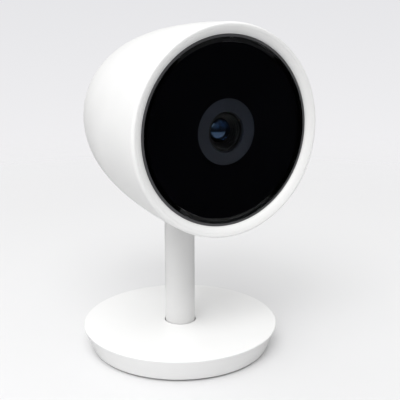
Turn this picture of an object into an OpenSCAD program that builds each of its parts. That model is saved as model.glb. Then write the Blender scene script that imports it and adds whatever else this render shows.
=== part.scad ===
// Indoor smart-home security camera on a swivel stem.
// A bowl-shaped head looks along -Y; it tilts on a drum hinge at the top of a
// slim stem, and the stem swivels in a weighted round base.
// Origin: centre of the base underside. +Z up. Millimetres.

/* [Base] */
// Radius of the base at its top edge
base_top_r = 37.5; // [37:0.25:37.75]
// Radius of the base at its foot
base_foot_r = 34.25; // [34:0.25:34.5]
// Height of the base, foot ring included
base_h = 9.5; // [9.5:0.1:10]
// Thickness of the base cover
base_wall = 1.8; // [1.6:0.1:2]
// Height of the shadow gap under the base cover
foot_gap = 0.8; // [0.7:0.1:0.9]
// Core radius of the 1/4 inch tripod thread
tripod_r = 2.55; // [2.5:0.05:2.6]

/* [Stem] */
// Outer radius of the stem tube
stem_r = 5.7; // [5.6:0.05:5.8]
// Radius of the opening in the base cover around the stem
stem_hole_r = 6.05; // [6.05:0.05:6.2]
// Height of the tilt pin above the table
pivot_z = 64; // [63.5:0.25:64.5]
// Radius of the hinge drum at the stem's top
drum_r = 7; // [6.8:0.1:7]
// Width of the hinge drum
drum_w = 12; // [11.8:0.1:12]
// Radius of the tilt pin
pin_r = 1.5; // [1.4:0.1:1.5]

/* [Head] */
// Outer radius of the head at its lip
head_r = 36; // [35.8:0.1:36.2]
// Depth of the head from lip crest to back
head_len = 74; // [73.5:0.25:74.5]
// Height of the head's axis above the table
head_z = 88; // [87.8:0.1:88.2]
// Distance from the stem's axis forward to the lip crest
lip_y = 35.5; // [35:0.25:36]
// Wall thickness of the head shell
wall = 2; // [1.8:0.1:2.2]
// Radius of the front glass
glass_r = 31.1; // [31:0.05:31.1]
// Depth of the front glass below the lip crest
glass_recess = 1.5; // [1.4:0.1:1.6]
// Thickness of the front glass
glass_t = 1.2; // [1:0.1:1.2]
// Radius of the clear window in the front glass
window_r = 11.2; // [11:0.1:11.4]

/* [Quality] */
// Facets on large round parts
fine = 96; // [48:8:128]
// Facets on small round parts
small = 28; // [20:4:40]

/* [Hidden] */

white = "#f4f4f2";
grey = "#9a9c9e";
dark = "#2b2e33";
black = "#0c0d0f";
steel = "#b9bcc0";
pcb = "#1f5a3c";
brass = "#c8a25a";
ceramic = "#3a3b40";

cut = 0.05;                         // overrun that makes a cut clean
crest = 1.5;                        // depth of the rounded lip, front to back
crest_r = head_r - 0.8;             // radius of the lip crest
shell_step = 30;                    // stations along the shell's curve
shell_run = head_len - crest;       // length of the tapering part of the shell
glass_front = lip_y - glass_recess; // forward place of the glass's face
glass_back = glass_front - glass_t;
ring_in = 31.95;                    // inner radius of the front ring
ring_out = head_r - wall + 0.4;     // outer radius of the front ring
groove = 0.9;                       // depth of the light ring below the glass's face
gasket_t = 0.5;
ledge_h = glass_back - gasket_t;    // forward face of the ring's ledge
ledge_r = 29.6;
chassis_h = 12.6;                   // forward face of the chassis plate
chassis_t = 1.6;
chassis_r = 29.6;
chassis_back = chassis_h - chassis_t;
boss_at = 25.6;                     // radius on which the shell's bosses stand
boss_angles = [90, 210, 330];
camera_board_h = 14;
camera_board_r = 13;
front_board_h = 26;
front_post_at = 24;
front_post_angles = [45, 135, 225, 315];
main_board_h = 3;
board_t = 1;
main_post_xy = [[-19, 8], [19, 8], [9, 17]];
lens_tip = 31.6;                    // forward end of the lens barrel
speaker_at = -22;                   // forward face of the speaker
speaker_r = 13;
bracket_t = 1.2;
bracket_in = drum_w / 2 + 0.6;      // inner face of a bracket ear
bracket_top = pivot_z + 9.8 - head_z;
mic_places = [[-11, -33.2], [11, -33.2]];
plate_t = 1.6;
plate_top = foot_gap + plate_t;
plate_r = base_foot_r - base_wall - 0.9;
cover_top_t = 2;
cover_under = base_h - cover_top_t;
screw_at = 20;
screw_angles = [30, 150, 270];
port_w = 8.94;
port_h = 3.26;
port_l = 7.35;
port_z = 4.4;
port_face = 35.3;                   // distance back to the port's mouth
flange_r = 9;
flange_t = 1.2;
flange_z = 5.7;                     // underside of the stem's flange
stem_wall = 1.3;
stem_top = pivot_z - drum_r - 0.2;
running = 0.05;                     // radial clearance of a running fit
strand_x = 3.1;                     // place of each harness strand beside the pin

// Radius of a shell of lip radius r0 and length run, at a distance s behind the lip
function bowl(s, r0, run) = r0 * pow(max(0, 1 - pow(s / run, 2)), 0.25);

// Stations that crowd towards the shell's round back
function station(i) = sin(90 * i / shell_step);

// Local +Z is forward and local +Y is up, measured from the head's axis
module on_head() {
    translate([0, 0, head_z]) rotate([90, 0, 0]) children();
}

module disc(r, h0, h1, facets = small) {
    translate([0, 0, h0]) cylinder(r = r, h = h1 - h0, $fn = facets);
}

module ring(r_in, r_out, h0, h1, facets = small) {
    difference() {
        disc(r_out, h0, h1, facets);
        disc(r_in, h0 - cut, h1 + cut, facets);
    }
}

module at_polar(r, angles) {
    for (a = angles) translate([r * cos(a), r * sin(a), 0]) children();
}

module centred(size, at) {
    translate([at[0] - size[0] / 2, at[1] - size[1] / 2, at[2]]) cube(size);
}

// Solid of revolution between the head's outer surface and its axis
module head_solid(inset, front) {
    run = shell_run - inset;
    r0 = head_r - inset;
    from = lip_y - crest;
    curve = [for (i = [0 : shell_step]) [bowl(station(i) * run, r0, run), from - station(i) * run]];
    rotate_extrude($fn = fine) polygon(concat([[0, front], [r0, front]], curve));
}

// ---------- base ----------

module foot_ring() {
    color(dark) ring(plate_r - 7, plate_r - 0.3, 0, foot_gap, fine);
}

module base_plate() {
    boss_r = 6.6;
    boss_top = 5;
    color(grey) difference() {
        union() {
            disc(plate_r, foot_gap, plate_top, fine);
            disc(boss_r, foot_gap, boss_top, fine);
            // stop post that limits the swivel, behind the stem
            translate([-1, 10.4, plate_top - cut]) cube([2, 2, 4.2]);
            for (side = [-1, 1]) centred([0.8, 9, 1], [side * 8.9, 24.5, plate_top - cut]);
        }
        disc(4.4, foot_gap - cut, boss_top + cut, small);
        at_polar(screw_at, screw_angles) {
            disc(1.35, 0, plate_top + cut, small);
            disc(2.6, foot_gap - cut, foot_gap + 0.9, small);
        }
    }
}

module tripod_insert() {
    insert_top = 5;
    color(brass) difference() {
        union() {
            disc(4.1, foot_gap, insert_top, small);
            for (z = [foot_gap, 2.3, 3.8]) disc(4.4, z, z + 1.1, small);
        }
        disc(tripod_r, foot_gap - cut, insert_top + cut, small);
    }
}

module base_weight() {
    color(steel) difference() {
        disc(31, plate_top + 0.05, 7, fine);
        disc(13, plate_top, 7 + cut, fine);
        at_polar(screw_at, screw_angles) disc(3.2, plate_top, 7 + cut, small);
        translate([-9.5, 14, plate_top]) cube([19, 20, 6]);
        translate([-6, 8, plate_top]) cube([12, 10, 6]);
    }
}

module base_cover() {
    edge = 0.5;
    lower = foot_gap;
    inner_foot = base_foot_r - base_wall;
    inner_top = base_top_r - base_wall - 0.6;
    color(white) difference() {
        union() {
            difference() {
                rotate_extrude($fn = fine) polygon([
                    [0, lower], [base_foot_r - 0.3, lower], [base_foot_r, lower + 0.3],
                    [base_top_r, base_h - edge], [base_top_r - 0.15, base_h - 0.15],
                    [base_top_r - edge, base_h], [0, base_h]
                ]);
                rotate_extrude($fn = fine) polygon([
                    [0, lower - cut], [inner_foot, lower - cut], [inner_top, cover_under],
                    [0, cover_under]
                ]);
            }
            at_polar(screw_at, screw_angles) ring(0.9, 2.9, plate_top, cover_under + cut, small);
        }
        disc(stem_hole_r, cover_under - cut, base_h + cut, fine);
        // opening for the power plug in the back of the base
        translate([0, base_top_r, port_z]) rotate([90, 0, 0]) linear_extrude(6) port_outline(0.15);
    }
}

module port_outline(gap) {
    r = port_h / 2 + gap;
    half = port_w / 2 - port_h / 2;
    for (side = [-1, 1]) translate([side * half, 0]) circle(r, $fn = small);
    square([2 * half, 2 * r], center = true);
}

module base_screws() {
    color(steel) at_polar(screw_at, screw_angles) difference() {
        union() {
            disc(2.3, foot_gap + 0.1, foot_gap + 0.85, small);
            disc(0.88, foot_gap + 0.5, 6.4, small);
        }
        for (turn = [0, 90]) rotate(turn) centred([2.6, 0.5, 0.5], [0, 0, foot_gap]);
    }
}

module usb_port() {
    shell_t = 0.3;
    color(steel) translate([0, port_face, port_z]) rotate([90, 0, 0]) {
        difference() {
            linear_extrude(port_l) port_outline(0);
            translate([0, 0, -cut]) linear_extrude(port_l - 1) port_outline(-shell_t);
        }
        translate([0, 0, 1.2]) centred([6.7, 0.7, port_l - 1.9], [0, 0, 0]);
    }
}

module port_board() {
    board_y = port_face - port_l - 10.5;
    color(pcb) translate([-8, board_y, plate_top + 0.02]) cube([16, 13.6, 0.35]);
    color(ceramic) {
        translate([-6.5, board_y + 1, plate_top + 0.3]) cube([5, 3.4, 1.6]);
        translate([1.5, board_y + 1, plate_top + 0.3]) cube([5, 3.4, 2.2]);
    }
}

// Flat service loop between the port board and the foot of the stem
module base_lead() {
    loop_r = 10;
    lead_t = 0.8;
    lead_w = 0.9;
    run_x = 3.9;
    color(black) translate([0, 0, plate_top + 0.5]) {
        rotate(-160) rotate_extrude(angle = 226, $fn = 48) translate([loop_r, 0]) square([lead_w, lead_t]);
        translate([run_x, 9.2, 0]) cube([lead_w, 8.2, lead_t]);
    }
}

module swivel_bush() {
    color(black) ring(stem_r + running, flange_r + 1, flange_z + flange_t + 0.1, cover_under, fine);
}

module wave_washer() {
    color(steel) ring(6.7, 8.6, flange_z - 0.5, flange_z - 0.1, fine);
}

// ---------- stem ----------

module stem_flange() {
    color(steel) difference() {
        union() {
            disc(flange_r, flange_z, flange_z + flange_t, fine);
            // tooth that meets the base's stop post
            translate([-1, -12.2, flange_z]) cube([2, 4, flange_t - 0.1]);
        }
        disc(stem_r - stem_wall, flange_z - cut, flange_z + flange_t + cut, fine);
    }
}

module stem_tube() {
    color(white) ring(stem_r - stem_wall, stem_r, flange_z + flange_t, stem_top, fine);
}

module tilt_drum() {
    neck_r = stem_r - stem_wall;
    color(grey) difference() {
        union() {
            translate([0, 0, pivot_z]) rotate([0, 90, 0]) disc(drum_r, -drum_w / 2, drum_w / 2, fine);
            disc(neck_r, stem_top - 8, pivot_z, fine);
            translate([0, 0, stem_top]) intersection() {
                disc(stem_r, 0, 5, fine);
                centred([drum_w, 2 * stem_r, 5], [0, 0, 0]);
            }
        }
        // bore for the tilt pin
        translate([0, 0, pivot_z]) rotate([0, 90, 0])
            disc(pin_r + running, -drum_w / 2 - cut, drum_w / 2 + cut, small);
        // channels that carry the harness past the pin
        for (side = [-1, 1]) translate([side * strand_x, 0, 0]) {
            disc(0.85, stem_top - 9, pivot_z - 2.3, small);
            translate([0, 3, 0]) disc(0.85, pivot_z, pivot_z + 10, small);
        }
    }
}

module stem_harness() {
    foot = flange_z + 0.4;
    color(dark) {
        disc(2.6, foot, stem_top - 9.5, small);
        for (side = [-1, 1]) translate([side * strand_x, 0, 0]) {
            disc(0.7, stem_top - 9.6, pivot_z - 2.4, small);
            translate([0, 3, 0]) disc(0.7, pivot_z + 0.2, pivot_z + 6.4, small);
        }
    }
}

// ---------- tilt hinge, in the head ----------

module along_pin(x0, x1, r) {
    translate([0, 0, pivot_z]) rotate([0, 90, 0]) disc(r, x0, x1, small);
}

module tilt_pin() {
    end_x = bracket_in + bracket_t + 1.6;
    color(steel) along_pin(-end_x, end_x, pin_r);
}

module pin_clips() {
    from = bracket_in + bracket_t + 0.1;
    color(steel) for (side = [0, 1]) mirror([side, 0, 0]) difference() {
        along_pin(from, from + 0.5, pin_r + 1.2);
        along_pin(from - cut, from + 0.5 + cut, pin_r);
    }
}

module friction_washers() {
    from = drum_w / 2 + 0.08;
    color(brass) for (side = [0, 1]) mirror([side, 0, 0]) difference() {
        along_pin(from, bracket_in - 0.02, 4.2);
        along_pin(from - cut, bracket_in + cut, pin_r + 0.02);
    }
}

module tilt_bracket() {
    half_y = 6;
    ear_low = -4.5;
    roof = head_z + bracket_top - pivot_z;
    color(steel) difference() {
        union() {
            for (side = [0, 1]) mirror([side, 0, 0]) {
                along_pin(bracket_in, bracket_in + bracket_t, half_y - 1.5);
                translate([bracket_in, -half_y + 1.5, pivot_z]) cube([bracket_t, 2 * half_y - 3, roof]);
            }
            translate([-12, -chassis_back, pivot_z + roof - bracket_t])
                cube([24, chassis_back + half_y, bracket_t]);
            translate([-12, -chassis_back, pivot_z + roof - bracket_t])
                cube([24, bracket_t, 9]);
        }
        along_pin(-30, 30, pin_r);
        translate([0, 0, pivot_z + roof + 3.5]) rotate([90, 0, 0])
            for (x = [-8, 8]) translate([x, 0, 0]) disc(1.1, chassis_back - 3, chassis_back + 1, small);
        centred([8, 5, 6], [0, 3, pivot_z + roof - 3]);
    }
}

module bracket_screws() {
    roof = bracket_top + 3.5;
    color(steel) on_head() for (x = [-8, 8]) translate([x, roof, 0]) {
        disc(1, chassis_back - 1.4, chassis_h + 0.6, small);
        disc(1.9, chassis_back - 2.5, chassis_back - bracket_t, small);
    }
}

// ---------- head, inside ----------

module chassis() {
    rim = 1.4;
    color(dark) on_head() difference() {
        union() {
            disc(chassis_r, chassis_back, chassis_h, fine);
            ring(chassis_r - rim, chassis_r, chassis_h - cut, chassis_h + 6, fine);
            at_polar(front_post_at, front_post_angles) disc(2.2, chassis_h - cut, front_board_h, small);
            for (p = main_post_xy) translate([p[0], p[1], 0])
                disc(2, main_board_h + board_t, chassis_back + cut, small);
            for (x = [-9, 9]) translate([x, 0, 0]) disc(1.8, chassis_h - cut, camera_board_h, small);
            for (x = [-8, 8]) translate([x, bracket_top + 3.5, 0])
                disc(2.2, chassis_h - cut, chassis_h + 1.2, small);
        }
        at_polar(front_post_at, front_post_angles) disc(0.8, front_board_h - 6, front_board_h + cut, small);
        for (p = main_post_xy) translate([p[0], p[1], 0])
            disc(0.8, main_board_h, chassis_back - 1, small);
        for (x = [-9, 9]) translate([x, 0, 0]) disc(0.7, chassis_back - cut, camera_board_h + cut, small);
        for (x = [-8, 8]) translate([x, bracket_top + 3.5, 0])
            disc(1, chassis_back - cut, chassis_h + 2, small);
        at_polar(boss_at, boss_angles) disc(1.3, chassis_back - cut, chassis_h + cut, small);
        // window for the camera's flat cable
        centred([12, 5, 4], [0, 9, chassis_back - 1]);
    }
}

module chassis_screws() {
    color(steel) on_head() at_polar(boss_at, boss_angles) {
        disc(1, chassis_back - 6, chassis_h, small);
        disc(1.25, chassis_back, chassis_h, small);
        disc(2.2, chassis_h, chassis_h + 1.2, small);
    }
}

module main_board() {
    color(pcb) on_head() difference() {
        disc(25, main_board_h, main_board_h + board_t, fine);
        centred([60, 30, 4], [0, bracket_top - 12.4, main_board_h - 1]);
        for (p = main_post_xy) translate([p[0], p[1], 0])
            disc(1.1, main_board_h - 1, main_board_h + 2, small);
        at_polar(boss_at, boss_angles) disc(3.4, main_board_h - 1, main_board_h + 2, small);
    }
}

module processor_can() {
    color(steel) on_head() difference() {
        centred([22, 18, 2], [0, 5, main_board_h - 2]);
        centred([21.4, 17.4, 1.7], [0, 5, main_board_h - 1.7 + cut]);
    }
}

module board_chips() {
    top = main_board_h + board_t;
    color(ceramic) on_head() {
        centred([11, 11, 1.1], [-8, 0, top]);
        centred([9, 7.5, 0.9], [8, 2, top]);
        centred([4, 4, 0.9], [7, 11, top]);
        centred([5, 5, 2.6], [-12, 13, top]);
        centred([8, 3.5, 3], [0, -9, top]);
    }
}

module board_screws() {
    color(steel) on_head() for (p = main_post_xy) translate([p[0], p[1], 0]) {
        disc(0.78, main_board_h - 0.2, chassis_back - 2.5, small);
        disc(1.8, main_board_h - 1, main_board_h, small);
    }
}

module heat_sink() {
    fins = 7;
    pitch = 3.2;
    back = main_board_h - 2;
    color(grey) on_head() {
        centred([24, 20, 1.6], [0, 5, back - 1.62]);
        for (i = [0 : fins - 1]) centred([1, 20, 7], [(i - (fins - 1) / 2) * pitch, 5, back - 8.6]);
    }
}

module speaker() {
    color(dark) on_head() difference() {
        union() {
            disc(speaker_r - 3, speaker_at - 5.4, speaker_at, small);
            disc(speaker_r, speaker_at - 9, speaker_at - 5.3, fine);
        }
        translate([0, 0, speaker_at - 9.4]) cylinder(r1 = speaker_r - 2, r2 = 3, h = 3, $fn = fine);
    }
}

module speaker_box() {
    back = speaker_at - 9;
    color(grey) on_head() intersection() {
        ring(speaker_r - 1.4, speaker_r + 1.8, -60, back, fine);
        head_solid(wall + 0.05, 0);
    }
}

module speaker_mesh() {
    color(black) on_head() disc(speaker_r - 2.2, lip_y - head_len + wall + 0.6, lip_y - head_len + wall + 0.9, fine);
}

module wifi_antenna() {
    color(brass) on_head() rotate(62) rotate_extrude(angle = 56, $fn = fine)
        translate([31, 2]) square([0.3, 7]);
}

module flex_cable() {
    color(brass) on_head() {
        centred([9, 0.3, camera_board_h - main_board_h - 1.6], [0, 9.3, main_board_h + board_t + 0.1]);
    }
}

module camera_board() {
    color(pcb) on_head() difference() {
        disc(camera_board_r, camera_board_h, camera_board_h + board_t, fine);
        for (x = [-9, 9]) translate([x, 0, 0]) disc(1, camera_board_h - 1, camera_board_h + 2, small);
    }
}

module image_sensor() {
    color(ceramic) on_head() centred([8.6, 7.4, 1.1], [0, 0, camera_board_h + board_t]);
}

module lens_holder() {
    base_h0 = camera_board_h + board_t;
    color(black) on_head() difference() {
        union() {
            centred([15, 15, 4.6], [0, 0, base_h0]);
            disc(7, base_h0 + 4.5, base_h0 + 9, fine);
        }
        centred([10.6, 9.4, 3.4], [0, 0, base_h0 - 0.02]);
        disc(5.6, base_h0 + 4, base_h0 + 10, fine);
        disc(4, base_h0 + 2, base_h0 + 5, fine);
    }
}

module ir_cut_filter() {
    color("#7d8fa8") on_head() centred([9.4, 8.6, 0.3], [0, 0, camera_board_h + board_t + 2.6]);
}

module lens_barrel() {
    low = camera_board_h + board_t + 4.7;
    bore_r = 4.2;
    color(black) on_head() difference() {
        union() {
            disc(5.58, low, 27, fine);
            disc(6.5, 24.2, lens_tip, fine);
        }
        disc(bore_r, low - cut, lens_tip - 3, fine);
        translate([0, 0, lens_tip - 3.1]) cylinder(r1 = bore_r, r2 = 5.9, h = 3.2, $fn = fine);
    }
}

module lens_glass(r, bulge, h0, h1) {
    ball = (r * r + bulge * bulge) / (2 * bulge);
    disc(r, h0, h1, fine);
    intersection() {
        translate([0, 0, h1 + bulge - ball]) sphere(ball, $fn = fine);
        disc(r, h1 - cut, h1 + bulge + 1, fine);
    }
}

module rear_lens() {
    color("#3b4a66") on_head() lens_glass(4.15, 0.9, 21, 22.6);
}

module front_lens() {
    color("#1d2740") on_head() lens_glass(4.15, 1.5, 26.4, 28.2);
}

module lens_hood() {
    plate_front = glass_back - 0.25;
    color(dark) on_head() difference() {
        union() {
            disc(window_r + 1.6, plate_front - 0.8, plate_front, fine);
            ring(window_r + 0.4, window_r + 1.6, front_board_h + board_t, plate_front, fine);
        }
        disc(6.65, 20, plate_front + cut, fine);
    }
}

module front_board() {
    color(pcb) on_head() difference() {
        ring(9, 28, front_board_h, front_board_h + board_t, fine);
        at_polar(front_post_at, front_post_angles) disc(1, front_board_h - 1, front_board_h + 2, small);
    }
}

module ir_leds() {
    top = front_board_h + board_t;
    color(grey) on_head() for (x = [-20, 20]) translate([x, 0, 0]) {
        centred([3.5, 3.5, 1], [0, 0, top]);
        lens_glass(1.6, 1.1, top + 0.9, top + 1.1);
    }
}

module status_leds() {
    color(white) on_head() at_polar(26.5, [0 : 30 : 330])
        centred([1.6, 1.6, 0.8], [0, 0, front_board_h + board_t]);
}

module microphones() {
    color(brass) on_head() for (p = mic_places) centred([3.5, 1, 2.65], [p[0], p[1] + 4.4, 22]);
}

module mic_boots() {
    color(black) on_head() for (p = mic_places) difference() {
        translate([p[0], p[1] + 3.9, 23.3]) rotate([90, 0, 0]) cylinder(r = 1.7, h = 1.7, $fn = small);
        translate([p[0], p[1] + 4, 23.3]) rotate([90, 0, 0]) cylinder(r = 0.5, h = 4, $fn = small);
    }
}

// ---------- head, front ----------

module glass_gasket() {
    color(black) on_head() ring(ledge_r, glass_r - 0.1, ledge_h, glass_back, fine);
}

module mask_film() {
    color(black) on_head() ring(window_r, ledge_r - 0.05, glass_back - 0.2, glass_back, fine);
}

module front_glass() {
    color(black) on_head() disc(glass_r, glass_back, glass_front, fine);
}

module light_ring() {
    color(grey) on_head() ring(glass_r + 0.04, ring_in - 0.02, ledge_h, glass_front - groove, fine);
}

module front_ring() {
    deep = ledge_h - 1;
    foot_h = glass_front - groove + 0.1;
    outer = ring_out - 0.02;
    flare = [
        for (t = [0 : 11.25 : 90])
            [outer - (outer - ring_in) * sin(t), foot_h + (lip_y - 0.12 - foot_h) * cos(t)]
    ];
    color(white) on_head() rotate_extrude($fn = fine) polygon(concat(
        [[ledge_r, deep], [outer, deep]], flare, [[ring_in, ledge_h], [ledge_r, ledge_h]]
    ));
}

module head_shell() {
    boss_len = 30;
    slot_front = 12.2;
    slot_back = 10.8;
    slot_w = 2 * stem_r + 1.4;
    lip_stations = [0 : 15 : 90];
    arc = [
        for (t = lip_stations)
            [crest_r + (head_r - crest_r) * cos(t), lip_y - crest + crest * sin(t)]
    ];
    lip_in = [[ring_out + 0.2, lip_y - 0.02], [ring_out, lip_y - 0.12], [ring_out - 2, lip_y - 0.12]];
    color(white) difference() {
        on_head() union() {
            difference() {
                union() {
                    head_solid(0, lip_y - crest);
                    rotate_extrude($fn = fine) polygon(concat(
                        [[ring_out - 2, lip_y - crest - 1], [head_r, lip_y - crest - 0.01]], arc, lip_in
                    ));
                }
                head_solid(wall, lip_y - crest + cut);
                disc(ring_out, ledge_h - 1, lip_y + 1, fine);
            }
            intersection() {
                at_polar(boss_at, boss_angles) difference() {
                    disc(3, chassis_back - boss_len, chassis_back, small);
                    disc(1, chassis_back - 7, chassis_back + cut, small);
                }
                head_solid(wall / 2, lip_y - crest);
            }
        }
        // slot for the stem
        translate([-slot_w / 2, -slot_front + slot_w / 2, 40])
            cube([slot_w, slot_front + slot_back - slot_w, 24]);
        for (y = [-slot_front + slot_w / 2, slot_back - slot_w / 2]) translate([0, y, 40])
            cylinder(r = slot_w / 2, h = 24, $fn = small);
        // microphone ports under the front, speaker holes in the back
        on_head() for (p = mic_places) translate([p[0], p[1] + 2, 23.3]) rotate([90, 0, 0])
            cylinder(r = 0.5, h = 6, $fn = small);
        on_head() speaker_holes();
    }
}

module speaker_holes() {
    hole_r = 0.55;
    row_pitch = 2.2;
    inner_end = lip_y - head_len + 4;
    disc(hole_r, -head_len, inner_end, 16);
    for (row = [1 : 3], k = [0 : 6 * row - 1]) rotate(k * 60 / row)
        translate([row * row_pitch, 0, 0]) disc(hole_r, -head_len, inner_end, 16);
}

foot_ring();
base_plate();
tripod_insert();
base_weight();
base_cover();
base_screws();
usb_port();
port_board();
base_lead();
swivel_bush();
wave_washer();
stem_flange();
stem_tube();
tilt_drum();
stem_harness();
tilt_pin();
pin_clips();
friction_washers();
tilt_bracket();
bracket_screws();
chassis();
chassis_screws();
main_board();
processor_can();
board_chips();
board_screws();
heat_sink();
speaker();
speaker_box();
speaker_mesh();
wifi_antenna();
flex_cable();
camera_board();
image_sensor();
lens_holder();
ir_cut_filter();
lens_barrel();
rear_lens();
front_lens();
lens_hood();
front_board();
ir_leds();
status_leds();
microphones();
mic_boots();
glass_gasket();
mask_film();
front_glass();
light_ring();
front_ring();
head_shell();
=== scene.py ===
# %% [markdown]
# # An indoor camera on a swivel stem
#
# The object is a small camera for a shelf. A bowl-shaped white head holds a flat
# disc of black glass, a slim white stem carries the head, and a round white base
# stands on the table. Its parts were sized in CAD and are loaded here as a fixed
# frame, so this script only decides how they look. Each part that can be seen is
# turned again with smooth curves, and each hidden part gets its real finish.

import math

import bmesh
import bpy
from mathutils import Matrix, Vector


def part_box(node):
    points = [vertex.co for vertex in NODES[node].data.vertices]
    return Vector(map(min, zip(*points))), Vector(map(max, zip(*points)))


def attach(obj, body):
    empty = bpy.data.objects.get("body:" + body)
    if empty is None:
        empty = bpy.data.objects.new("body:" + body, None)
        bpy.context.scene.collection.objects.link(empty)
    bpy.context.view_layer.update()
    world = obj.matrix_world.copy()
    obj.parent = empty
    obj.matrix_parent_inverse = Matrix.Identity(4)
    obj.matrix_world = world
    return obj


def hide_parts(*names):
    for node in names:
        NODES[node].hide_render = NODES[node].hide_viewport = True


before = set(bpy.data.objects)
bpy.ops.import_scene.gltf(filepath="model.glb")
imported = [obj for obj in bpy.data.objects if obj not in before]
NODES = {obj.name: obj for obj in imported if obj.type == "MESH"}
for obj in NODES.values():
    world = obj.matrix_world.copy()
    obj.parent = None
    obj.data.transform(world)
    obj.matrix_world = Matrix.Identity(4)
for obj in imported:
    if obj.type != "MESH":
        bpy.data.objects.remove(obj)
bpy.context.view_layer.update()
MM = 0.001

# %% [markdown]
# ## Measures
# Every place comes from the boxes of the CAD parts. The head is a solid of
# revolution about a level axis, so its measures are radii and distances forward
# of the stem. The base and the stem turn about the upright axis.

# %% Read the measures that the shapes share
def box_of(node):
    low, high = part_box(node)
    return Vector(low), Vector(high)


shell_low, shell_high = box_of("head_shell")
glass_low, glass_high = box_of("front_glass")
ring_high = box_of("front_ring")[1]
light_high = box_of("light_ring")[1]
base_low, base_high = box_of("base_cover")
stem_low, stem_high = box_of("stem_tube")

axis_z = (shell_low.z + shell_high.z) / 2
head_r = (shell_high.x - shell_low.x) / 2
lip = -shell_low.y
head_len = shell_high.y - shell_low.y
wall = 2.0 * MM
glass_r = glass_high.x
glass_front = -glass_low.y
glass_back = -glass_high.y
base_r = base_high.x
base_top = base_high.z
base_low_z = base_low.z
stem_r = stem_high.x
print("head radius %.1f mm, depth %.1f mm, axis at %.1f mm" % (head_r / MM, head_len / MM, axis_z / MM))

# %% [markdown]
# ## A lathe in mesh code
# Nearly every piece here is turned. A lathe needs an outline, which is a closed
# loop of points given as radius and height, and a spin about an axis. Blender's
# Screw modifier could do it too, but `bmesh.ops.spin` gives a plain mesh at once.
# The doubles on the seam and at the poles are merged, and the normals are then
# turned outwards. Corners are rounded in the outline itself, so that the edge of
# a moulded part catches the light as the real one does.

# %% Helpers that turn an outline into a mesh
AROUND = 160
TO_HEAD = Matrix.Translation((0, 0, axis_z)) @ Matrix.Rotation(math.pi / 2, 4, "X")


def finish_mesh(name, bm, material, place=None, smooth_angle=32):
    """Close a bmesh, put it in its place and make it an object."""
    bmesh.ops.remove_doubles(bm, verts=bm.verts, dist=1e-6)
    flat = [f for f in bm.faces if f.calc_area() < 1e-14]
    bmesh.ops.delete(bm, geom=flat, context="FACES")
    bare = [e for e in bm.edges if not e.link_faces]
    bmesh.ops.delete(bm, geom=bare, context="EDGES")
    bmesh.ops.recalc_face_normals(bm, faces=bm.faces)
    if place is not None:
        bmesh.ops.transform(bm, matrix=place, verts=bm.verts)
    mesh = bpy.data.meshes.new(name)
    bm.to_mesh(mesh)
    bm.free()
    mesh.shade_smooth()
    mesh.set_sharp_from_angle(angle=math.radians(smooth_angle))
    mesh.materials.append(material)
    piece = bpy.data.objects.new(name, mesh)
    bpy.context.scene.collection.objects.link(piece)
    return piece


def spin_into(bm, outline, around=AROUND):
    """Turn a closed outline of (radius, height) points about the upright axis."""
    dots = [bm.verts.new((max(r, 0), 0, h)) for r, h in outline]
    rim = [bm.edges.new((a, b)) for a, b in zip(dots, dots[1:] + dots[:1])]
    bmesh.ops.spin(bm, geom=dots + rim, cent=(0, 0, 0), axis=(0, 0, 1), dvec=(0, 0, 0),
                   angle=2 * math.pi, steps=around, use_merge=True)


def held(outline, hold=0.12 * MM):
    """Add a point close to both ends of every long segment, so that flats stay flat when smoothed."""
    points = []
    for (r0, h0), (r1, h1) in zip(outline, outline[1:] + outline[:1]):
        points.append((r0, h0))
        length = math.hypot(r1 - r0, h1 - h0)
        if length > 5 * hold:
            for t in (hold / length, 1 - hold / length):
                points.append((r0 + (r1 - r0) * t, h0 + (h1 - h0) * t))
    return points


def turned(name, outline, material, place=None, around=AROUND, hold=0.12 * MM):
    bm = bmesh.new()
    spin_into(bm, held(outline, hold), around)
    return finish_mesh(name, bm, material, place)


def arc(centre, radius, start, end, steps=6):
    """Points along an arc; a pair of radii makes it an ellipse."""
    rx, ry = radius if isinstance(radius, tuple) else (radius, radius)
    turns = [math.radians(start + (end - start) * i / steps) for i in range(steps + 1)]
    return [(centre[0] + rx * math.cos(t), centre[1] + ry * math.sin(t)) for t in turns]


print("lathe ready,", AROUND, "steps around")

# %% [markdown]
# ## Camera
# The camera comes early, because the shapes are judged through it. It stands to
# the left of the object and a little above it. Its place is found by walking back
# from a target point near the stem along a direction given by two angles.

# %% Place the camera
VIEW_AZIMUTH = math.radians(-29.82)
VIEW_HEIGHT = math.radians(13.22)
VIEW_DISTANCE = 282.73 * MM
VIEW_ROLL = math.radians(-0.31)
TARGET_SIDE = 3.95 * MM
TARGET_UP = 62.69 * MM
LENS_PER_FRAME = 1.8719
SHIFT_X = 0.0259
SHIFT_Y = -0.0335


def place_camera():
    sin_a, cos_a = math.sin(VIEW_AZIMUTH), math.cos(VIEW_AZIMUTH)
    back = Vector((sin_a * math.cos(VIEW_HEIGHT), -cos_a * math.cos(VIEW_HEIGHT), math.sin(VIEW_HEIGHT)))
    across = Vector((cos_a, sin_a, 0))
    target = across * TARGET_SIDE + Vector((0, 0, TARGET_UP))
    upright = back.cross(across)
    cos_r, sin_r = math.cos(VIEW_ROLL), math.sin(VIEW_ROLL)
    right = across * cos_r + upright * sin_r
    up = upright * cos_r - across * sin_r
    data = bpy.data.cameras.new("camera")
    data.sensor_width = 36
    data.lens = LENS_PER_FRAME * data.sensor_width
    data.shift_x, data.shift_y = SHIFT_X, SHIFT_Y
    data.clip_start = 0.01
    camera = bpy.data.objects.new("camera", data)
    bpy.context.scene.collection.objects.link(camera)
    turn = Matrix((right, up, back)).transposed().to_4x4()
    camera.matrix_world = Matrix.Translation(target + back * VIEW_DISTANCE) @ turn
    bpy.context.scene.camera = camera
    return camera


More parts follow.
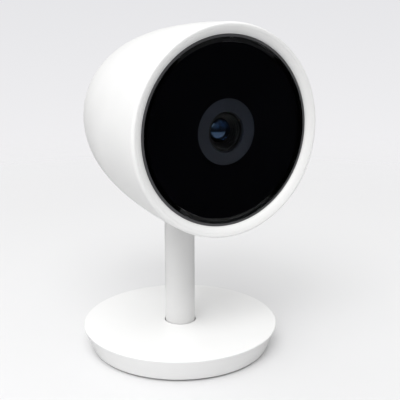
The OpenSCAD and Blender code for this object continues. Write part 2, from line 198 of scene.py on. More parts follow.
camera = place_camera()
print("lens %.1f mm, camera at %s" % (camera.data.lens, [round(v, 3) for v in camera.location]))

# %% [markdown]
# ## Finishes
# Each finish is a small node tree on a Principled shader. The helper starts one,
# and adds what nearly all need: a noise that varies the roughness and the colour
# a little, and a bump. Patterns read Object coordinates in metres, so a scale of
# 4000 gives grains about a quarter of a millimetre wide. Values that are the same
# all over the surface are set on the shader's own sockets.

# %% Helpers that build a finish
def start_finish(name, color, roughness, **sockets):
    material = bpy.data.materials.new(name)
    material.use_nodes = True
    nodes, links = material.node_tree.nodes, material.node_tree.links
    shader = nodes["Principled BSDF"]
    shader.inputs["Base Color"].default_value = (*color, 1)
    shader.inputs["Roughness"].default_value = roughness
    for socket, value in sockets.items():
        shader.inputs[socket.replace("_", " ")].default_value = value
    place = nodes.new("ShaderNodeTexCoord")
    return material, nodes, links, shader, place.outputs["Object"]


def noise_of(nodes, links, place, scale, detail=2.0):
    noise = nodes.new("ShaderNodeTexNoise")
    noise.inputs["Scale"].default_value = scale
    noise.inputs["Detail"].default_value = detail
    links.new(place, noise.inputs["Vector"])
    return noise.outputs["Fac"]


def between(nodes, links, source, low, high, socket):
    """Spread a pattern between two values and feed it to a shader socket."""
    spread = nodes.new("ShaderNodeMapRange")
    spread.inputs["From Min"].default_value = 0.3
    spread.inputs["From Max"].default_value = 0.7
    spread.inputs["To Min"].default_value = low
    spread.inputs["To Max"].default_value = high
    links.new(source, spread.inputs["Value"])
    links.new(spread.outputs["Result"], socket)


def tint(nodes, links, source, dark, light, socket):
    """Blend two colours by a pattern."""
    ramp = nodes.new("ShaderNodeValToRGB")
    ramp.color_ramp.elements[0].position = 0.3
    ramp.color_ramp.elements[1].position = 0.7
    ramp.color_ramp.elements[0].color = (*dark, 1)
    ramp.color_ramp.elements[1].color = (*light, 1)
    links.new(source, ramp.inputs["Fac"])
    links.new(ramp.outputs["Color"], socket)


def bump_on(nodes, links, source, depth, shader, strength=1.0):
    bump = nodes.new("ShaderNodeBump")
    bump.inputs["Strength"].default_value = strength
    bump.inputs["Distance"].default_value = depth
    links.new(source, bump.inputs["Height"])
    links.new(bump.outputs["Normal"], shader.inputs["Normal"])
    return bump


def grained(name, color, roughness, grain=4000, depth=0.004 * MM, spread=0.06, shade=0.04, **sockets):
    """A moulded, cast or coated surface: fine grain, and a slow drift of tone."""
    material, nodes, links, shader, place = start_finish(name, color, roughness, **sockets)
    fine = noise_of(nodes, links, place, grain)
    slow = noise_of(nodes, links, place, 60, detail=3)
    darker = [c * (1 - shade) for c in color]
    tint(nodes, links, slow, darker, color, shader.inputs["Base Color"])
    between(nodes, links, slow, roughness - spread, roughness + spread, shader.inputs["Roughness"])
    bump_on(nodes, links, fine, depth, shader)
    return material


print("finish helpers ready")

# %% [markdown]
# ## White finishes
# The head is moulded in white plastic with a soft, matte touch. Its mould was
# spark-eroded, which leaves a grain finer than a quarter of a millimetre that
# blurs every highlight. The base and the stem are metal with a powder coat, which
# has a slightly rounder, shallower orange-peel, so they get a coarser noise.

# %% Make the white finishes
head_white = grained("moulded_white", (0.905, 0.905, 0.90), 0.46, grain=5200, depth=0.006 * MM,
                     spread=0.05, shade=0.012, Specular_IOR_Level=0.42)
base_white = grained("coated_white", (0.905, 0.905, 0.90), 0.44, grain=2600, depth=0.006 * MM,
                     spread=0.05, shade=0.012, Specular_IOR_Level=0.42)
# The stem has the same coat as the base, but its white is painted darker: painted shade for the shadow that
# the head casts on the stem.
stem_white_painted_shade = grained("coated_stem_white_painted_shade", (0.75, 0.748, 0.745), 0.40, grain=2600, depth=0.005 * MM,
                     spread=0.05, shade=0.015, Specular_IOR_Level=0.45)
print("white finishes:", head_white.name, base_white.name, stem_white_painted_shade.name)

# %% [markdown]
# ## Dark finishes
# Behind the glass are a black film, a dark-grey hood and a black lens barrel.
# They are matte, so that they don't throw light back at the lens. The ring round the glass is smoked plastic
# that glows only when a light is on behind it. Its mid-grey is partly that plastic's own tone and partly
# painted shade for the shaded recess where the white roll meets the glass.

# %% Make the dark finishes
film_black = grained("printed_black", (0.0009, 0.0009, 0.0022), 0.7, grain=3000, depth=0.001 * MM, shade=0.1,
                     Specular_IOR_Level=0.02)
hood_grey = grained("hood_grey", (0.008, 0.013, 0.026), 0.55, grain=5000, depth=0.004 * MM, shade=0.12)
barrel_black = grained("anodised_black", (0.0018, 0.0022, 0.0028), 0.48, grain=5200, depth=0.002 * MM,
                       shade=0.15, Specular_IOR_Level=0.3)
# Partly painted shade: this grey is the smoked plastic's tone and also stands in for the shade of the recess
# beside the glass.
smoked_grey_painted_shade = grained("smoked_diffuser_painted_shade", (0.09, 0.09, 0.095), 0.50, grain=5200, depth=0.001 * MM, shade=0.08,
                 Specular_IOR_Level=0.3)
moulded_black = grained("moulded_black", (0.014, 0.015, 0.017), 0.5, shade=0.12)
moulded_dark = grained("moulded_dark", (0.035, 0.038, 0.043), 0.5, shade=0.10)
moulded_grey = grained("moulded_grey", (0.36, 0.37, 0.38), 0.48, shade=0.05)
rubber = grained("foot_rubber", (0.030, 0.030, 0.032), 0.72, grain=1800, depth=0.02 * MM, shade=0.2)
foam = grained("cell_foam", (0.016, 0.016, 0.018), 0.9, grain=2600, depth=0.06 * MM, shade=0.3)
print("dark finishes made")

# %% [markdown]
# ## Metals
# Metal needs little colour and a lot of roughness work. Turned and stamped steel
# gets fine streaks, made by stretching a noise along one axis. The ballast is cast
# and phosphated, so it is dark and grainy. The die-cast aluminium is satin.

# %% Make the metals
def streaked(name, color, roughness, stretch=(1, 1, 14), scale=900, depth=0.002 * MM, **sockets):
    """Turned, drawn or stamped metal, with streaks across the short axis of stretch."""
    material, nodes, links, shader, place = start_finish(name, color, roughness, Metallic=1.0, **sockets)
    mapping = nodes.new("ShaderNodeMapping")
    mapping.inputs["Scale"].default_value = stretch
    links.new(place, mapping.inputs["Vector"])
    streaks = noise_of(nodes, links, mapping.outputs["Vector"], scale, detail=3)
    darker = [c * 0.9 for c in color]
    tint(nodes, links, streaks, darker, color, shader.inputs["Base Color"])
    between(nodes, links, streaks, roughness - 0.07, roughness + 0.07, shader.inputs["Roughness"])
    bump_on(nodes, links, streaks, depth, shader)
    return material


plated_steel = streaked("plated_steel", (0.56, 0.57, 0.59), 0.28)
stamped_steel = streaked("stamped_steel", (0.50, 0.51, 0.53), 0.36, stretch=(10, 1, 1))
turned_brass = streaked("turned_brass", (0.72, 0.53, 0.25), 0.26, stretch=(1, 1, 18))
cast_aluminium = grained("cast_aluminium", (0.62, 0.63, 0.65), 0.42, grain=2400, depth=0.01 * MM,
                         shade=0.08, Metallic=1.0)
cast_ballast = grained("cast_ballast", (0.11, 0.11, 0.115), 0.62, grain=1500, depth=0.05 * MM,
                       shade=0.25, Metallic=0.6)
gold_foil = grained("gold_foil", (0.66, 0.43, 0.16), 0.35, grain=1800, depth=0.004 * MM, Metallic=0.7)
print("metals made")

# %% [markdown]
# ## Glass
# The front glass is clear. It looks black because a black film lies behind it, as
# a print on the back does on the real part. A clear disc over black gives the
# depth that plain black gloss can't. The front glass is coated against reflections,
# which a low index stands for. The lens glasses are dense and their coating mirrors
# blue light only, which the shader's blue specular tint stands for.

# %% Make the glasses
def clear_glass(name, color, roughness, **sockets):
    material, nodes, links, shader, place = start_finish(
        name, color, roughness, Transmission_Weight=1.0, **sockets)
    wiped = noise_of(nodes, links, place, 90, detail=4)
    between(nodes, links, wiped, roughness, roughness + 0.012, shader.inputs["Roughness"])
    return material


front_clear = clear_glass("front_clear", (0.96, 0.97, 0.98), 0.0, IOR=1.22)
lens_coated = clear_glass("lens_coated", (0.10, 0.18, 0.30), 0.0, IOR=1.9, Specular_Tint=(0.30, 0.55, 1.0, 1),
                          Coat_Weight=0.3, Coat_Roughness=0.02)
filter_glass = clear_glass("filter_glass", (0.45, 0.75, 0.80), 0.0, IOR=1.5)
print("glasses made")

# %% [markdown]
# ## Electronics
# Boards are a green or black solder mask over copper. A brick pattern reads as runs of track and a pattern of
# dots as rows of pads, and the brick pattern raises the tracks by a few hundredths of a millimetre. Chips are
# dull black epoxy.

# %% Make the electronic finishes
def board_finish(name, mask, track, pad):
    material, nodes, links, shader, place = start_finish(name, mask, 0.32, Coat_Weight=0.5,
                                                         Coat_Roughness=0.15)
    bricks = nodes.new("ShaderNodeTexBrick")
    bricks.inputs["Scale"].default_value = 420
    bricks.inputs["Mortar Size"].default_value = 0.09
    bricks.inputs["Color1"].default_value = (*mask, 1)
    bricks.inputs["Color2"].default_value = (*mask, 1)
    bricks.inputs["Mortar"].default_value = (*track, 1)
    turn = nodes.new("ShaderNodeMapping")
    turn.inputs["Rotation"].default_value = (math.radians(90), 0, 0)
    links.new(place, turn.inputs["Vector"])
    links.new(turn.outputs["Vector"], bricks.inputs["Vector"])
    pads = nodes.new("ShaderNodeTexVoronoi")
    pads.inputs["Scale"].default_value = 650
    links.new(place, pads.inputs["Vector"])
    dots = nodes.new("ShaderNodeMath")
    dots.operation = "LESS_THAN"
    dots.inputs[1].default_value = 0.16
    links.new(pads.outputs["Distance"], dots.inputs[0])
    mixed = nodes.new("ShaderNodeMix")
    mixed.data_type = "RGBA"
    mixed.inputs["B"].default_value = (*pad, 1)
    links.new(dots.outputs["Value"], mixed.inputs["Factor"])
    links.new(bricks.outputs["Color"], mixed.inputs["A"])
    links.new(mixed.outputs["Result"], shader.inputs["Base Color"])
    bump_on(nodes, links, bricks.outputs["Fac"], 0.02 * MM, shader)
    return material


black_board = board_finish("black_board", (0.008, 0.008, 0.010), (0.020, 0.020, 0.022), (0.40, 0.32, 0.16))
green_board = board_finish("green_board", (0.010, 0.085, 0.040), (0.025, 0.17, 0.075), (0.55, 0.56, 0.58))
chip_epoxy = grained("chip_epoxy", (0.020, 0.020, 0.022), 0.55, grain=3500, depth=0.006 * MM, shade=0.2)
led_body = grained("led_body", (0.78, 0.77, 0.68), 0.22, grain=2500, depth=0.002 * MM, shade=0.06,
                   Coat_Weight=0.6, Coat_Roughness=0.08)
cable_jacket = grained("cable_jacket", (0.018, 0.018, 0.020), 0.52, grain=2200, depth=0.01 * MM, shade=0.2)
print("electronic finishes made")

# %% Give every CAD part its finish
FINISHES = {
    "foot_ring": rubber, "base_plate": moulded_grey, "tripod_insert": turned_brass,
    "base_weight": cast_ballast, "base_cover": base_white, "base_screws": plated_steel,
    "usb_port": plated_steel, "port_board": green_board, "base_lead": cable_jacket,
    "swivel_bush": moulded_black, "wave_washer": plated_steel, "stem_flange": stamped_steel,
    "stem_tube": stem_white_painted_shade, "tilt_drum": cast_aluminium, "stem_harness": cable_jacket,
    "tilt_pin": plated_steel, "pin_clips": plated_steel, "friction_washers": turned_brass,
    "tilt_bracket": stamped_steel, "bracket_screws": plated_steel, "chassis": moulded_dark,
    "chassis_screws": plated_steel, "main_board": green_board, "processor_can": stamped_steel,
    "board_chips": chip_epoxy, "board_screws": plated_steel, "heat_sink": cast_aluminium,
    "speaker": moulded_dark, "speaker_box": moulded_grey, "speaker_mesh": moulded_black,
    "wifi_antenna": gold_foil, "flex_cable": gold_foil, "camera_board": green_board,
    "image_sensor": chip_epoxy, "lens_holder": moulded_black, "ir_cut_filter": filter_glass,
    "lens_barrel": barrel_black, "rear_lens": lens_coated, "front_lens": lens_coated,
    "lens_hood": hood_grey, "front_board": black_board, "ir_leds": led_body,
    "status_leds": led_body, "microphones": gold_foil, "mic_boots": foam,
    "glass_gasket": foam, "mask_film": film_black, "front_glass": front_clear,
    "light_ring": smoked_grey_painted_shade, "front_ring": head_white, "head_shell": head_white,
}
for node_name, part in NODES.items():
    part.data.materials.clear()
    part.data.materials.append(FINISHES[node_name])
print("finished", len(NODES), "CAD parts")

# %% [markdown]
# ## Head shell
# The shell is one moulding, open at the front and closed at the back. Its outline
# is a curve that leaves the lip almost straight and turns ever faster towards the
# back: the radius falls with the fourth root of one minus the distance squared.
# The lip is a small ellipse. An inner outline, two millimetres in, makes it a real
# wall. A subdivision cage could give the same shape, but the formula keeps it
# exactly on the CAD surface.

# %% Outline of the shell
CREST = 1.5 * MM
ROLL_FOOT_R = 32.15 * MM
ROLL_POWER = 1.75
SEAM = 0.02 * MM
crest_r = head_r - 0.8 * MM
shell_run = head_len - CREST
ring_out = ring_high.x + SEAM
ring_deep = -ring_high.y
roll_foot = glass_front - 0.4 * MM


def bowl_curve(inset, steps):
    """Points from the lip to the pole, on the shell's surface moved in by inset."""
    points = []
    for i in range(steps + 1):
        s = math.sin(math.pi / 2 * i / steps)
        radius = (head_r - inset) * max(0.0, 1 - s * s) ** 0.25
        points.append((radius, lip - CREST - s * (shell_run - inset)))
    return points


def roll(radius):
    """Height of the inward roll at a radius, from the crest down to the light ring."""
    u = min(1.0, (crest_r - radius) / (crest_r - ROLL_FOOT_R))
    return roll_foot + (lip - roll_foot) * (1 - u ** ROLL_POWER) ** (1 / ROLL_POWER)


def shell_outline():
    lip_arc = arc((crest_r, lip - CREST), (head_r - crest_r, CREST), 90, 0, steps=10)
    near = [ring_out + 0.06 * MM + (crest_r - ring_out - 0.06 * MM) * i / 6 for i in range(6)]
    edge = [(ring_out, roll(ring_out) - 0.06 * MM)] + [(r, roll(r)) for r in near]
    inside = [p for p in bowl_curve(wall, 40) if p[1] < ring_deep]
    seat = [(inside[0][0], ring_deep), (ring_out, ring_deep)]
    return edge + lip_arc + bowl_curve(0, 72)[1:] + inside[::-1] + seat


head_shell = turned("shell_moulding", shell_outline(), head_white, TO_HEAD, around=192)
print("shell has", len(head_shell.data.polygons), "faces before its openings")

# %% [markdown]
# The shell has three kinds of opening: a slot underneath for the stem, a cluster
# of small holes at the back for the speaker, and two ports under the front for
# the microphones. A Boolean modifier cuts them. Cutters are made with the same
# operators, and the modifier is applied at once, so that the piece is plain mesh.

# %% Cut openings out of a piece
def cylinder_into(bm, radius, low, high, place=Matrix(), sides=24):
    """A closed cylinder from low to high on the upright axis, then moved by place."""
    made = bmesh.ops.create_cone(bm, cap_ends=True, segments=sides, radius1=radius, radius2=radius,
                                 depth=high - low)
    bmesh.ops.translate(bm, vec=(0, 0, (low + high) / 2), verts=made["verts"])
    bmesh.ops.transform(bm, matrix=place, verts=made["verts"])
    return made["verts"]


def stadium_into(bm, half_width, front, back, low, high, sides=40):
    """An upright slot with round ends between two places along Y."""
    verts = cylinder_into(bm, half_width, low, high, sides=sides)
    for v in verts:
        v.co.y += back - half_width if v.co.y > 1e-7 else front + half_width
    return verts


def cut_away(piece, bm, smooth_angle=32):
    cutter_mesh = bpy.data.meshes.new("cutter")
    bm.to_mesh(cutter_mesh)
    bm.free()
    cutter = bpy.data.objects.new("cutter", cutter_mesh)
    bpy.context.scene.collection.objects.link(cutter)
    modifier = piece.modifiers.new("cut", "BOOLEAN")
    modifier.operation = "DIFFERENCE"
    modifier.solver = "EXACT"
    modifier.object = cutter
    modifier.use_self = False
    cut = bpy.data.meshes.new_from_object(piece.evaluated_get(bpy.context.evaluated_depsgraph_get()))
    piece.modifiers.clear()
    old = piece.data
    piece.data = cut
    bpy.data.meshes.remove(old)
    bpy.data.objects.remove(cutter)
    bpy.data.meshes.remove(cutter_mesh)
    cut.shade_smooth()
    cut.set_sharp_from_angle(angle=math.radians(smooth_angle))
    return piece


SLOT_HALF = stem_r + 0.7 * MM
SLOT_FRONT, SLOT_BACK = -12.2 * MM, 10.8 * MM
SPEAKER_HOLE_R = 0.55 * MM
SPEAKER_PITCH = 2.2 * MM
MIC_R, MIC_SIDE, MIC_FORWARD = 0.5 * MM, 11 * MM, 23.3 * MM

slot_cutter = bmesh.new()
stadium_into(slot_cutter, SLOT_HALF, SLOT_FRONT, SLOT_BACK, shell_low.z - 5 * MM, shell_low.z + 12 * MM)
cut_away(head_shell, slot_cutter)

hole_cutter = bmesh.new()
back_high = -shell_high.y + 6 * MM
for row in range(4):
    for k in range(max(1, 6 * row)):
        around = math.radians(k * 60 / max(1, row))
        at = Matrix.Translation((row * SPEAKER_PITCH * math.cos(around),
                                 row * SPEAKER_PITCH * math.sin(around), 0))
        cylinder_into(hole_cutter, SPEAKER_HOLE_R, -shell_high.y - 4 * MM, back_high, TO_HEAD @ at, 20)
for side in (-1, 1):
    at = Matrix.Translation((side * MIC_SIDE, -MIC_FORWARD, shell_low.z))
    cylinder_into(hole_cutter, MIC_R, -3 * MM, 6 * MM, at, 20)
cut_away(head_shell, hole_cutter)
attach(head_shell, "head")
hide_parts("head_shell")
print("shell has", len(head_shell.data.polygons), "faces with its openings")

# %% [markdown]
# ## Front ring, light ring and glass
# Inside the lip a white ring rolls down to the glass. Its section is a quarter of an ellipse, so its shade
# deepens smoothly towards the glass. Between the ring and the glass sits a narrow smoked ring that lights up
# when the camera is on. It is drawn out to the foot of the roll, and its grey is partly painted shade for the
# shaded recess at the glass's edge. The glass has ground edges, so its rim gets a small bevel in the outline.
# Its black film reaches a hair into the glass, because a gap there would mirror the floor.

# %% Turn the front ring, the light ring and the glass
WINDOW = 11.2
ledge_h = -light_high.y
ledge_r = glass_r - 1.5 * MM
ring_edge = ring_high.x - 0.06 * MM
turns = [math.radians(90 * i / 20) for i in range(21)]
rolled = [crest_r - (crest_r - ROLL_FOOT_R) * math.sin(t) for t in turns]
front_outline = [(ring_high.x, roll(ring_high.x) - 0.06 * MM)]
front_outline += [(r, roll(r)) for r in [ring_edge] + [r for r in rolled if r < ring_edge - 0.05 * MM]]
front_outline += [(ROLL_FOOT_R, ledge_h), (ledge_r, ledge_h), (ledge_r, ring_deep), (ring_high.x, ring_deep)]
front_ring = turned("front_roll", front_outline, head_white, TO_HEAD, around=192)
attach(front_ring, "head")
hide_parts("front_ring")

EDGE = 0.12 * MM
# Painted shade: the smoked ring reaches out to the foot of the roll, and its grey fills the shaded recess
# beside the glass.
light_out, light_front = ROLL_FOOT_R - 0.02 * MM, roll_foot + 0.1 * MM
light_in = glass_r + 0.04 * MM
light_outline = [(light_in, ledge_h), (light_out, ledge_h)]
light_outline += arc((light_out - EDGE, light_front - EDGE), EDGE, 0, 90, steps=4)
light_outline += arc((light_in + EDGE, light_front - EDGE), EDGE, 90, 180, steps=4)
light_ring = turned("light_ring_painted_shade", light_outline, smoked_grey_painted_shade, TO_HEAD, around=192)
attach(light_ring, "head")
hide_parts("light_ring")

FILM_BITE = 0.02 * MM
film_high = box_of("mask_film")[1]
window_r = WINDOW * MM
film_front = glass_back + FILM_BITE
film_outline = [(window_r, -film_high.y), (film_high.x, -film_high.y), (film_high.x, film_front)]
film_outline += [(window_r, film_front)]
mask_film = turned("mask_film_print", film_outline, film_black, TO_HEAD, around=192)
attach(mask_film, "head")
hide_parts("mask_film")

print_out, print_in = glass_r + 0.02 * MM, glass_r - 0.03 * MM
edge_outline = [(print_in, glass_back), (print_out, glass_back), (print_out, glass_front - EDGE)]
edge_outline += [(print_in, glass_front - EDGE)]
edge_print = turned("glass_edge_print", edge_outline, film_black, TO_HEAD, around=192, hold=0.02 * MM)
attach(edge_print, "head")

clear_r = print_in - 0.02 * MM
glass_outline = [(0, glass_back), (clear_r - EDGE, glass_back), (clear_r, glass_back + EDGE)]
glass_outline += arc((clear_r - EDGE, glass_front - EDGE), EDGE, 0, 90, steps=5)
glass_outline += [(0, glass_front)]
front_glass = turned("front_glass_disc", glass_outline, front_clear, TO_HEAD, around=192)
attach(front_glass, "head")
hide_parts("front_glass")
print("glass is %.1f mm across and sits %.1f mm below the lip" % (2 * glass_r / MM, (lip - glass_front) / MM))

# %% [markdown]
# ## Lens hood, barrel and lens
# Through the round window the hood shows as a flat dark-grey face, with the lens
# opening in its middle. A real hood has fine steps inside, which trap stray light,
# and the barrel's mouth is a stepped cone for the same reason. The front lens is a
# dome. Its curved reflection is what makes a lens read as glass.

# %% Turn the hood and the barrel
hood_low, hood_high = box_of("lens_hood")
barrel_low, barrel_high = box_of("lens_barrel")
hood_r = hood_high.x
hood_front, hood_back = -hood_low.y, -hood_high.y
HOOD_HOLE = 6.65 * MM
HOOD_STEPS = 4

hood_outline = [(hood_r, hood_back), (hood_r, hood_front - 0.2 * MM), (hood_r - 0.2 * MM, hood_front)]
hood_outline += arc((HOOD_HOLE + 0.45 * MM, hood_front - 0.25 * MM), 0.25 * MM, 90, 180, steps=4)
hood_outline += [(HOOD_HOLE + 0.2 * MM, hood_front - 0.55 * MM), (HOOD_HOLE, hood_front - 0.55 * MM)]
hood_outline += [(HOOD_HOLE, hood_front - 0.8 * MM), (hood_r - 1.2 * MM, hood_front - 0.8 * MM)]
hood_outline += [(hood_r - 1.2 * MM, hood_back)]
lens_hood = turned("lens_hood_face", hood_outline, hood_grey, TO_HEAD)
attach(lens_hood, "head")
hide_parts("lens_hood")

barrel_r, barrel_tip = barrel_high.x, -barrel_low.y
barrel_back = -barrel_high.y
MOUTH_R, BORE_R = 5.7 * MM, 4.2 * MM
SHANK_R, SHOULDER = 5.58 * MM, 24.2 * MM
mouth_depth = 3.0 * MM
barrel_outline = [(BORE_R, barrel_back), (SHANK_R, barrel_back), (SHANK_R, SHOULDER), (barrel_r, SHOULDER)]
barrel_outline += arc((barrel_r - 0.2 * MM, barrel_tip - 0.2 * MM), 0.2 * MM, 0, 90, steps=4)
for i in range(HOOD_STEPS):
    radius = MOUTH_R - (MOUTH_R - BORE_R) * i / HOOD_STEPS
    barrel_outline += [(radius, barrel_tip - mouth_depth * i / HOOD_STEPS),
                       (radius - 0.08 * MM, barrel_tip - mouth_depth * (i + 0.9) / HOOD_STEPS)]
barrel_outline += [(BORE_R, barrel_tip - mouth_depth)]
lens_barrel = turned("lens_barrel_turned", barrel_outline, barrel_black, TO_HEAD)
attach(lens_barrel, "head")
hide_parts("lens_barrel")

lens_low, lens_high = box_of("front_lens")
lens_r = lens_high.x
lens_back, lens_peak = -lens_high.y, -lens_low.y
LENS_RIM = 1.8 * MM
bulge = lens_peak - lens_back - LENS_RIM
ball = (lens_r ** 2 + bulge ** 2) / (2 * bulge)
dome_turn = math.degrees(math.asin(lens_r / ball))
lens_outline = [(0, lens_back), (lens_r, lens_back)]
lens_outline += arc((0, lens_peak - ball), ball, 90 - dome_turn, 90, steps=12)
front_lens = turned("front_lens_dome", lens_outline, lens_coated, TO_HEAD, around=96)
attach(front_lens, "head")
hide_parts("front_lens")
print("lens dome radius %.1f mm" % (ball / MM))

# %% [markdown]
# ## Stem
# The stem is a drawn tube with a thin wall. It runs from its flange in the base up
# into the slot of the head. Its upper edge is rounded so that it never scrapes the
# slot when the head tilts.

# %% Turn the stem
STEM_WALL = 1.3 * MM
ROUND = 0.35 * MM
stem_bore = stem_r - STEM_WALL
stem_outline = [(stem_bore, stem_low.z), (stem_r, stem_low.z)]
stem_outline += arc((stem_r - ROUND, stem_high.z - ROUND), ROUND, 0, 90, steps=5)
stem_outline += [(stem_bore, stem_high.z)]
# The stem wears the darker white, which is painted shade for the shadow of the head.
stem = turned("stem_drawn_tube", stem_outline, stem_white_painted_shade, around=96)
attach(stem, "stem")
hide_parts("stem_tube")
print("stem is %.1f mm thick" % (2 * stem_r / MM))

# %% [markdown]
# ## Base
# The base cover is a shallow white cup turned upside down. Its side draws in towards the table, its top is
# flat, and the edge between them is crisp but not sharp. The power inlet is cut through the side at the back,
# and the hole for the stem has a fine rounded edge, which catches a thin line of shade.

# %% Turn the base cover and cut its inlet
FOOT_SHARE = 34.25 / 37.5
base_foot_r = base_r * FOOT_SHARE
TOP_ROUND = 0.45 * MM
COVER_TOP = 2.0 * MM
COVER_SIDE = 1.8 * MM
STEM_HOLE = 6.05 * MM
HOLE_ROUND = 0.18 * MM
cover_under = base_top - COVER_TOP
side_lean = math.degrees(math.atan2(base_top - base_low_z, base_r - base_foot_r))

cover_outline = arc((base_foot_r - 0.3 * MM, base_low_z + 0.3 * MM), 0.3 * MM, 270, 340, steps=4)
cover_outline += arc((base_r - TOP_ROUND, base_top - TOP_ROUND), TOP_ROUND, -20, 90, steps=8)
cover_outline += arc((STEM_HOLE + HOLE_ROUND, base_top - HOLE_ROUND), HOLE_ROUND, 90, 180, steps=4)
cover_outline += [(STEM_HOLE, cover_under), (base_r - COVER_SIDE - 0.6 * MM, cover_under)]
cover_outline += [(base_foot_r - COVER_SIDE, base_low_z)]
base_cover = turned("base_cover_cup", cover_outline, base_white, around=192)

port_low, port_high = box_of("usb_port")
port_half_w = (port_high.x - port_low.x) / 2 + 0.15 * MM
port_half_h = (port_high.z - port_low.z) / 2 + 0.15 * MM
port_z = (port_high.z + port_low.z) / 2
port_cutter = bmesh.new()
verts = cylinder_into(port_cutter, port_half_h, 0, 12 * MM, sides=40)
for v in verts:
    v.co.x += math.copysign(port_half_w - port_half_h, v.co.x) if abs(v.co.x) > 1e-7 else 0
bmesh.ops.transform(port_cutter, matrix=Matrix.Translation((0, base_r + 2 * MM, port_z))
                    @ Matrix.Rotation(math.pi / 2, 4, "X"), verts=verts)
cut_away(base_cover, port_cutter)
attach(base_cover, "base")
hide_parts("base_cover")
print("base leans %.0f degrees, %d faces" % (side_lean, len(base_cover.data.polygons)))

# %% [markdown]
# ## Foot ring and tripod insert
# The rubber ring under the base has rounded edges and three fine grooves, so that
# it grips. The brass insert in its middle is threaded: its bore is a run of ridges
# at the pitch of the quarter-inch screw, twenty to the inch.

# %% Turn the foot ring and the insert
foot_high = box_of("foot_ring")[1]
foot_out, foot_h_top = foot_high.x, foot_high.z
FOOT_WIDTH = 6.7 * MM
GROOVE, GROOVES = 0.5 * MM, 3
foot_in = foot_out - FOOT_WIDTH
foot_outline = [(foot_in, foot_h_top)] + arc((foot_in + 0.3 * MM, 0.3 * MM), 0.3 * MM, 180, 270, steps=4)
for i in range(GROOVES):
    middle = foot_in + FOOT_WIDTH * (i + 1) / (GROOVES + 1)
    foot_outline += [(middle - GROOVE / 2, 0), (middle - GROOVE / 4, 0.25 * MM),
                     (middle + GROOVE / 4, 0.25 * MM), (middle + GROOVE / 2, 0)]
foot_outline += arc((foot_out - 0.3 * MM, 0.3 * MM), 0.3 * MM, 270, 360, steps=4)
foot_outline += [(foot_out, foot_h_top)]
foot_ring = turned("foot_ring_rubber", foot_outline, rubber, around=160)
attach(foot_ring, "base")
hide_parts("foot_ring")

insert_low, insert_high = box_of("tripod_insert")
insert_r = insert_high.x
CORE_R, CREST_R, PITCH = 2.55 * MM, 3.1 * MM, 1.27 * MM
insert_outline = [(CREST_R, insert_low.z), (insert_r, insert_low.z), (insert_r, insert_high.z)]
insert_outline += [(CREST_R, insert_high.z)]
ridges = int((insert_high.z - insert_low.z) / PITCH)
for i in range(ridges):
    h = insert_high.z - 0.3 * MM - i * PITCH
    insert_outline += [(CORE_R, h - 0.25 * PITCH), (CORE_R, h - 0.4 * PITCH), (CREST_R, h - 0.65 * PITCH)]
insert = turned("tripod_insert_threaded", insert_outline, turned_brass, around=64)
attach(insert, "base")
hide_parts("tripod_insert")
print("thread shows", ridges, "ridges")

# %% [markdown]
# ## Studio
# The object stands on a plain pale floor under soft light. The floor is a wide disc
# whose edge melts into the background, so no horizon shows from any side. Two large
# soft lamps of equal strength stand high in front and to the left, with a weak one
# further round. The surroundings light the rest, mostly from above and a little
# from the left. Mirrors see them much darker, so that black glass stays black.

# %% Make the floor
FLOOR_R = 0.6
FADE_FROM, FADE_TO = 0.10, 0.55


def studio_floor():
    bm = bmesh.new()
    bmesh.ops.create_circle(bm, cap_ends=True, segments=128, radius=FLOOR_R)
    mesh = bpy.data.meshes.new("studio_floor")
    bm.to_mesh(mesh)
    bm.free()
    floor = bpy.data.objects.new("studio_floor", mesh)
    bpy.context.scene.collection.objects.link(floor)
    material, nodes, links, shader, place = start_finish("floor_paper", (0.765, 0.765, 0.77), 0.7)
    reach = nodes.new("ShaderNodeVectorMath")
    reach.operation = "LENGTH"
    links.new(place, reach.inputs[0])
    fade = nodes.new("ShaderNodeMapRange")
    fade.interpolation_type = "SMOOTHSTEP"
    fade.inputs["From Min"].default_value = FADE_FROM
    fade.inputs["From Max"].default_value = FADE_TO
    links.new(reach.outputs["Value"], fade.inputs["Value"])
    clear = nodes.new("ShaderNodeBsdfTransparent")
    both = nodes.new("ShaderNodeMixShader")
    links.new(fade.outputs["Result"], both.inputs["Fac"])
    links.new(shader.outputs["BSDF"], both.inputs[1])
    links.new(clear.outputs["BSDF"], both.inputs[2])
    links.new(both.outputs["Shader"], nodes["Material Output"].inputs["Surface"])
    mesh.materials.append(material)
    floor.visible_glossy = False
    return floor


floor = studio_floor()
print("floor radius", FLOOR_R, "m")

# %% Light the studio
BACKDROP = ((0.0, (0.965, 0.965, 0.97)), (0.5, (0.89, 0.885, 0.90)), (1.0, (0.79, 0.79, 0.81)))
AMBIENT = 0.14
GLOSS_AMBIENT = 0.03
LOBES = (((0.0, 0.0, 1.0), 1.04), ((-0.867, 0.499, 0.0), 0.51))


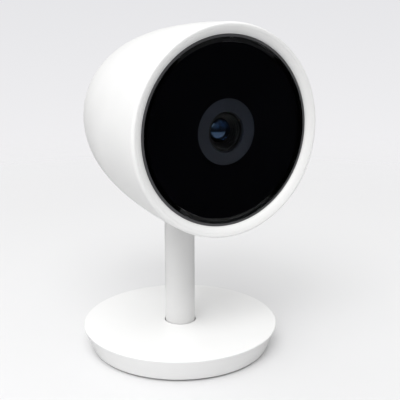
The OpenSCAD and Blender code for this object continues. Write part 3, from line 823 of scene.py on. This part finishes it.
def surroundings():
    """A backdrop for the camera, and light that grows towards each direction in LOBES."""
    world = bpy.data.worlds.new("studio")
    world.use_nodes = True
    nodes, links = world.node_tree.nodes, world.node_tree.links
    seen = nodes["Background"]
    split = nodes.new("ShaderNodeSeparateXYZ")
    sky = nodes.new("ShaderNodeTexCoord").outputs["Generated"]
    links.new(sky, split.inputs["Vector"])
    height = nodes.new("ShaderNodeMapRange")
    height.inputs["From Min"].default_value = -0.47
    height.inputs["From Max"].default_value = 0.03
    links.new(split.outputs["Z"], height.inputs["Value"])
    shades = nodes.new("ShaderNodeValToRGB")
    shades.color_ramp.elements.new(0.5)
    for stop, (place, color) in zip(shades.color_ramp.elements, BACKDROP):
        stop.position = place
        stop.color = (*color, 1)
    links.new(height.outputs["Result"], shades.inputs["Fac"])
    links.new(shades.outputs["Color"], seen.inputs["Color"])
    ambient = nodes.new("ShaderNodeBackground")
    ambient.inputs["Color"].default_value = (1, 1, 1, 1)
    total = nodes.new("ShaderNodeValue").outputs["Value"]
    total.default_value = AMBIENT
    for direction, strength in LOBES:
        facing = nodes.new("ShaderNodeVectorMath")
        facing.operation = "DOT_PRODUCT"
        facing.inputs[1].default_value = direction
        links.new(sky, facing.inputs[0])
        share = nodes.new("ShaderNodeMath")
        share.operation = "MAXIMUM"
        share.inputs[1].default_value = 0.0
        links.new(facing.outputs["Value"], share.inputs[0])
        add = nodes.new("ShaderNodeMath")
        add.operation = "MULTIPLY_ADD"
        add.inputs[1].default_value = strength
        links.new(share.outputs["Value"], add.inputs[0])
        links.new(total, add.inputs[2])
        total = add.outputs["Value"]
    links.new(total, ambient.inputs["Strength"])
    mirrored = nodes.new("ShaderNodeBackground")
    mirrored.inputs["Color"].default_value = (1, 1, 1, 1)
    mirrored.inputs["Strength"].default_value = GLOSS_AMBIENT
    path = nodes.new("ShaderNodeLightPath")
    by_gloss = nodes.new("ShaderNodeMixShader")
    links.new(path.outputs["Is Glossy Ray"], by_gloss.inputs["Fac"])
    links.new(ambient.outputs["Background"], by_gloss.inputs[1])
    links.new(mirrored.outputs["Background"], by_gloss.inputs[2])
    by_camera = nodes.new("ShaderNodeMixShader")
    links.new(path.outputs["Is Camera Ray"], by_camera.inputs["Fac"])
    links.new(by_gloss.outputs["Shader"], by_camera.inputs[1])
    links.new(seen.outputs["Background"], by_camera.inputs[2])
    links.new(by_camera.outputs["Shader"], nodes["World Output"].inputs["Surface"])
    bpy.context.scene.world = world


def soft_lamp(name, place, aim, size, power):
    data = bpy.data.lights.new(name, "AREA")
    data.shape = "DISK"
    data.size = size
    data.energy = power
    lamp = bpy.data.objects.new(name, data)
    bpy.context.scene.collection.objects.link(lamp)
    lamp.location = place
    lamp.rotation_euler = (Vector(aim) - Vector(place)).to_track_quat("-Z", "Y").to_euler()
    return lamp


surroundings()
aim = (0, 0, 0.06)
LAMP_SIZE = 0.55
key = soft_lamp("key_lamp", (-0.31, -0.67, 1.01), aim, LAMP_SIZE, 3.3)
over = soft_lamp("over_lamp", (-0.65, -0.55, 0.91), aim, LAMP_SIZE, 3.3)
side = soft_lamp("side_lamp", (-0.71, -0.19, 1.01), aim, LAMP_SIZE, 0.77)
bpy.context.scene.view_settings.view_transform = "Standard"
bpy.context.scene.view_settings.look = "None"
print("lamps:", key.name, over.name, side.name)

# %% Finish
print("done")
